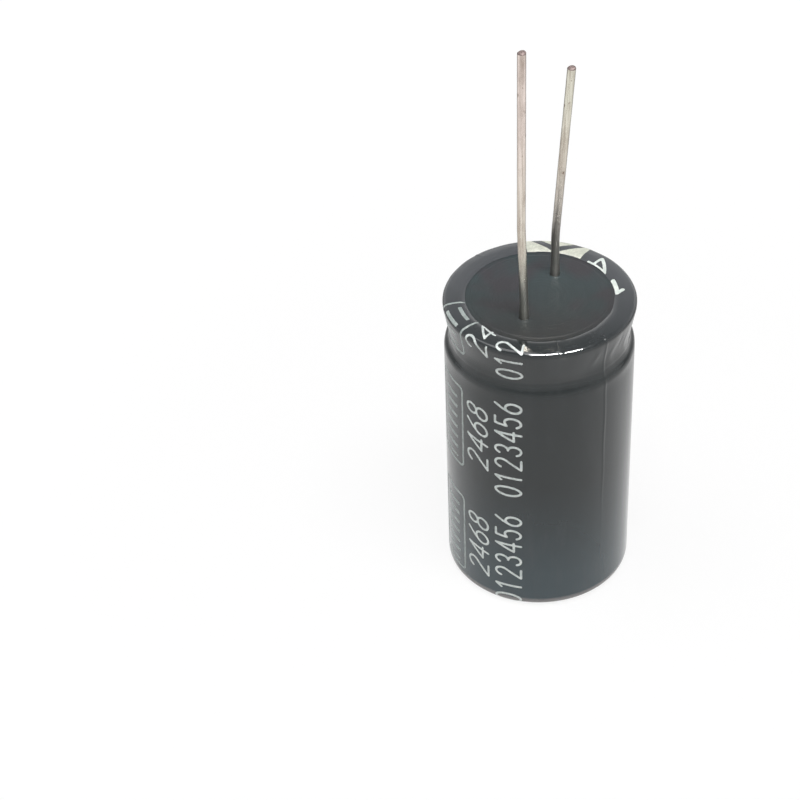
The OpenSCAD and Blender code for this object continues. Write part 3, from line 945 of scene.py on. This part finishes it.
# (sideways, height, slant) along the middle of a lead, from the foot of its weld
def leadRoute(look):
    startZ = lead["weldSunk"] + lead["weldRise"] / 2
    x, z, slant = 0.0, startZ, 0.0
    route = [(0.0, z * k / lead["weldRows"], 0.0) for k in range(lead["weldRows"])]
    for target, length in look["runs"]:
        turn = math.radians(target) - slant
        bends = lead["bendRows"] if turn else 0
        for _ in range(bends):
            slant += turn / bends / 2
            way = lead["bendRadius"] * abs(turn) / bends
            route.append((x, z, slant - turn / bends / 2))
            x, z = x + way * math.sin(slant), z + way * math.cos(slant)
            slant += turn / bends / 2
        if length is None:
            length = (look["height"] + lead["weldSunk"] - z) / math.cos(slant)
        count = max(2, round(length / lead["step"]))
        for k in range(count):
            way = length * k / count
            route.append((x + way * math.sin(slant), z + way * math.cos(slant), slant))
        x, z = x + length * math.sin(slant), z + length * math.cos(slant)
    route.append((x, z, slant))
    return np.array(route)


def leadRadius(z, look):
    rise = lead["weldSunk"] + lead["weldRise"]
    narrow = np.clip((z - rise + lead["weldRise"] / 2) / (lead["weldRise"] / 2), 0, 1)
    narrow = narrow * narrow * (3 - 2 * narrow)
    lump, fast, slow = lead["lumps"]
    uneven, rate = lead["uneven"]
    weld = lead["weldRadius"] + lump * np.sin(fast * z + look["seed"]) * np.sin(slow * z)
    plain = lead["radius"] + uneven * np.sin(rate * z + look["seed"])
    return weld * (1 - narrow) + plain * narrow


def makeLead(name, finish, cut):
    look = leads[name]
    route = leadRoute(look)
    sides = lead["sides"]
    turn = np.linspace(0, 2 * math.pi, sides, endpoint=False)
    lean = math.radians(lead["kinkTurn"])
    rings = []

    def ring(x, z, slant, radius, tilt=0.0):
        along = radius * np.cos(turn)
        across = radius * np.sin(turn)
        px = x + along * math.cos(slant)
        pz = z - along * math.sin(slant) + tilt * (along - radius) / lead["radius"]
        return np.stack([look["x"] + px * math.cos(lean) - across * math.sin(lean),
                         px * math.sin(lean) + across * math.cos(lean),
                         lead["weldZ"] + pz], axis=-1)

    for x, z, slant in route[:-1]:
        if z > route[-1][1] - lead["chamfer"]:
            break
        rings.append(ring(x, z, slant, leadRadius(z, look)))
    x, z, slant = route[-1]
    # the sheared tip: a small rolled edge, then a face that is not quite square
    for k in range(lead["tipRows"] + 1):
        a = math.radians(90 * k / lead["tipRows"])
        back = lead["chamfer"] * (1 - math.sin(a))
        radius = lead["radius"] - lead["chamfer"] * (1 - math.cos(a))
        px, pz = x - back * math.sin(slant), z - back * math.cos(slant)
        rings.append(ring(px, pz, slant, radius, look["cut"]))
    rings.append(ring(x, z, slant, lead["tipFlat"], look["cut"]))
    count = len(rings)
    faces = latheFaces(count, sides) + endFaces(count, sides)
    piece = makeObject(name + "_wire", np.concatenate(rings) * mm, faces, finish)
    piece.data.materials.append(cut)
    tipStart = (count - lead["tipRows"] - 1) * sides
    for face in piece.data.polygons:
        face.material_index = int(max(face.vertices) >= tipStart)
    softenEdges(piece, lead["sharpTurn"])
    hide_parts(name + "_lead")
    return piece


# All finishes and pieces

# light and shaded colour, roughness
inks = {
    "boldInk": (colour(0.90, 0.92, 0.90), colour(0.80, 0.83, 0.81), 0.36),
    "stripeInk": (colour(0.85, 0.855, 0.80), colour(0.74, 0.75, 0.70), 0.38),
    "printInk": (colour(0.86, 0.88, 0.87), colour(0.74, 0.77, 0.76), 0.36),
    "bandInk": (colour(0.68, 0.71, 0.70), colour(0.54, 0.58, 0.57), 0.38),
}
# light and shaded colour, roughness, pitch of the lines, depth of the bump, and how pitted
metals = {
    "bareAluminium": (colour(0.93, 0.93, 0.93), colour(0.84, 0.85, 0.86), 0.24, 0.11, 0.004),
    "tabAluminium": (colour(0.86, 0.86, 0.86), colour(0.76, 0.76, 0.77), 0.32, 0.2, 0.006),
    "etchedFoil": (colour(0.55, 0.57, 0.60), colour(0.45, 0.47, 0.50), 0.55, 0.3, 0.008, 0.6),
    "plainFoil": (colour(0.80, 0.81, 0.83), colour(0.70, 0.71, 0.73), 0.36, 0.3, 0.005, 0.2),
}
# light and shaded colour, and how much smoother the thick places are
papers = {
    "separatorPaper": (colour(0.80, 0.69, 0.52), colour(0.70, 0.58, 0.41), 0.1),
    "windingTape": (colour(0.80, 0.58, 0.33), colour(0.72, 0.50, 0.26), 0.5),
}
finishes = {name: inkFinish(name, *look) for name, look in inks.items()}
finishes.update((name, metalFinish(name, *look)) for name, look in metals.items())
finishes.update((name, paperFinish(name, *look)) for name, look in papers.items())

sleevePiece = makeSleeve(filmFinish())
print("sleeve made: %d faces, film %.2f mm long" % (len(sleevePiece.data.polygons), filmLength))
stripePiece = makeStripe(finishes["stripeInk"])
print("stripe made: %d faces" % len(stripePiece.data.polygons))
for name, run in digitColumns.items():
    digitPiece = makeDigits(name, finishes[run["ink"]])
    print("%s made: %d faces" % (name, len(digitPiece.data.polygons)))
bandPiece = makeRungs(finishes["bandInk"])
print("ruled band made: %d faces" % len(bandPiece.data.polygons))

sealPiece = makeSeal(rubberFinish())
print("seal made: %d faces" % len(sealPiece.data.polygons))

tinned, sheared = wireFinish(), cutFinish()
for name in leads:
    leadPiece = makeLead(name, tinned, sheared)
    print("%s lead made: %d faces" % (name, len(leadPiece.data.polygons)))

# The nodes that stay as the frame has them, the can and what is sealed inside it: finish and slot
plainNodes = {
    "can": ("bareAluminium", "bare_aluminium"),
    "positive_tab": ("tabAluminium", "tab_aluminium"),
    "anode_foil": ("etchedFoil", "etched_foil"),
    "cathode_foil": ("plainFoil", "plain_foil"),
    "inner_separator": ("separatorPaper", "separator_paper"),
    "winding_tape": ("windingTape", "winding_tape"),
    "negative_tab": ("tabAluminium", "tab_aluminium"),
    "outer_separator": ("separatorPaper", "separator_paper"),
}
for name, (finish, slot) in plainNodes.items():
    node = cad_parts[name]
    node.data.materials.clear()
    node.data.materials.append(finishes[finish])
print("finishes set on %d nodes" % len(plainNodes))


# Floor, light and camera

# sizes in metres, reaches in millimetres, and the rest are shares of white
room = {"floorSize": 1.2, "floorColour": (0.62, 0.62, 0.62, 1), "floorWhite": 0.78, "farWhite": 0.97,
        "farReach": 300, "floorLight": 1.08, "behind": 0.66, "behindReach": 100, "worldLight": 0.48,
        "horizon": 0.95, "ceiling": 0.55}


def makeFloor():
    half = room["floorSize"] / 2
    mesh = bpy.data.meshes.new("floor")
    corners = [(-half, -half, 0), (half, -half, 0), (half, half, 0), (-half, half, 0)]
    mesh.from_pydata(corners, [], [(0, 1, 2, 3)])
    floor = bpy.data.objects.new("floor", mesh)
    bpy.context.scene.collection.objects.link(floor)
    material, f = newFinish("paleFloor")
    rays = f.add("ShaderNodeLightPath").socket.node.outputs
    mirror = f.clamp(Wire(f, rays["Is Glossy Ray"]) + Wire(f, rays["Is Transmission Ray"]))
    seen = f.clamp(Wire(f, rays["Is Camera Ray"]) + mirror)
    matte = f.add("ShaderNodeBsdfDiffuse", {}, {"Color": room["floorColour"]})
    # the mirrored floor is duller behind the object
    behind = f.ramp(-1 * f.frontward() / room["behindReach"], (0.05, 0.0), (0.38, 0.6), (0.62, 1.0))
    glow = room["floorLight"] * (1 - mirror * behind * room["behind"])
    white = f.add("ShaderNodeEmission", {}, {"Color": (1, 1, 1, 1), "Strength": glow})
    # the floor is plain white beyond the reach of the object's shadow
    far = f.ramp(f.distance() / room["farReach"], (0.15, 0.0), (0.75, 1.0))
    share = room["floorWhite"] + far * (room["farWhite"] - room["floorWhite"])
    mixed = f.add("ShaderNodeMixShader", {}, {0: seen * share, 1: matte, 2: white})
    f.add("ShaderNodeOutputMaterial", {}, {"Surface": mixed})
    mesh.materials.append(material)


def makeWorld():
    world = bpy.data.worlds.new("softRoom")
    bpy.context.scene.world = world
    world.use_nodes = True
    f = Finish(world.node_tree)
    rays = f.add("ShaderNodeLightPath").socket.node.outputs
    camera = Wire(f, rays["Is Camera Ray"])
    mirror = f.clamp(Wire(f, rays["Is Glossy Ray"]) + Wire(f, rays["Is Transmission Ray"]))
    # a mirrored room is white at its foot and duller overhead
    upward = f.add("ShaderNodeSeparateXYZ", {}, {0: f.add("ShaderNodeTexCoord", out="Generated")}, out=2)
    overhead = f.ramp(upward, (0.24, 0.0), (0.54, 1.0))
    shown = room["horizon"] - overhead * (room["horizon"] - room["ceiling"])
    plain = room["worldLight"]
    strength = plain + camera * (1 - plain) + mirror * (shown - plain)
    sky = f.add("ShaderNodeBackground", {}, {"Color": (1, 1, 1, 1), "Strength": strength})
    f.add("ShaderNodeOutputWorld", {}, {"Surface": sky})


# "from" is azimuth and elevation in degrees, and metres from the body's middle; the tube is a glint alone
lamps = {
    "overheadStrip": {"from": (48, 68, 0.45), "size": (0.30, 0.10), "power": 1.1, "diffuse": True},
    "glintTube": {"from": (48, 58, 0.45), "size": (0.34, 0.045), "power": 11.0, "diffuse": False},
    "softTop": {"from": (-60, 72, 0.50), "size": (0.30, 0.30), "power": 0.8, "diffuse": True},
}
bodyMiddle = Vector((0, 0, 0.02))


def aroundBody(azimuth, elevation, distance):
    a, e = math.radians(azimuth), math.radians(elevation)
    way = Vector((math.cos(a) * math.cos(e), math.sin(a) * math.cos(e), math.sin(e)))
    return way * distance + bodyMiddle


def addLamp(name):
    look = lamps[name]
    data = bpy.data.lights.new(name, "AREA")
    data.shape = "RECTANGLE"
    data.size, data.size_y = look["size"]
    data.energy = look["power"]
    lamp = bpy.data.objects.new(name, data)
    bpy.context.scene.collection.objects.link(lamp)
    lamp.location = aroundBody(*look["from"])
    lamp.rotation_mode = "QUATERNION"
    lamp.rotation_quaternion = (bodyMiddle - aroundBody(*look["from"])).to_track_quat("-Z", "Y")
    lamp.visible_diffuse = look["diffuse"]


makeFloor()
makeWorld()
for name in lamps:
    addLamp(name)

# fitted to the body's outline: the camera's place in metres, and which way its own axes point
view = {
    "place": (0.1608856, 0.0669738, 0.1609256),
    "right": (-0.43152637, 0.90153612, -0.03189999),
    "up": (-0.57965381, -0.25001274, 0.77556114),
    "lens": 103.18, "sensor": 36.0,
}
cameraData = bpy.data.cameras.new("photoCamera")
cameraData.lens, cameraData.sensor_width = view["lens"], view["sensor"]
cameraData.clip_start, cameraData.clip_end = 0.01, 10
camera = bpy.data.objects.new("photoCamera", cameraData)
bpy.context.scene.collection.objects.link(camera)
right, up = Vector(view["right"]).normalized(), Vector(view["up"]).normalized()
back = right.cross(up)
turned = Matrix((right, up, back)).transposed().to_4x4()
camera.matrix_world = Matrix.Translation(Vector(view["place"])) @ turned
bpy.context.scene.camera = camera
bpy.context.scene.view_settings.view_transform = "Standard"
print("floor, light and camera set")
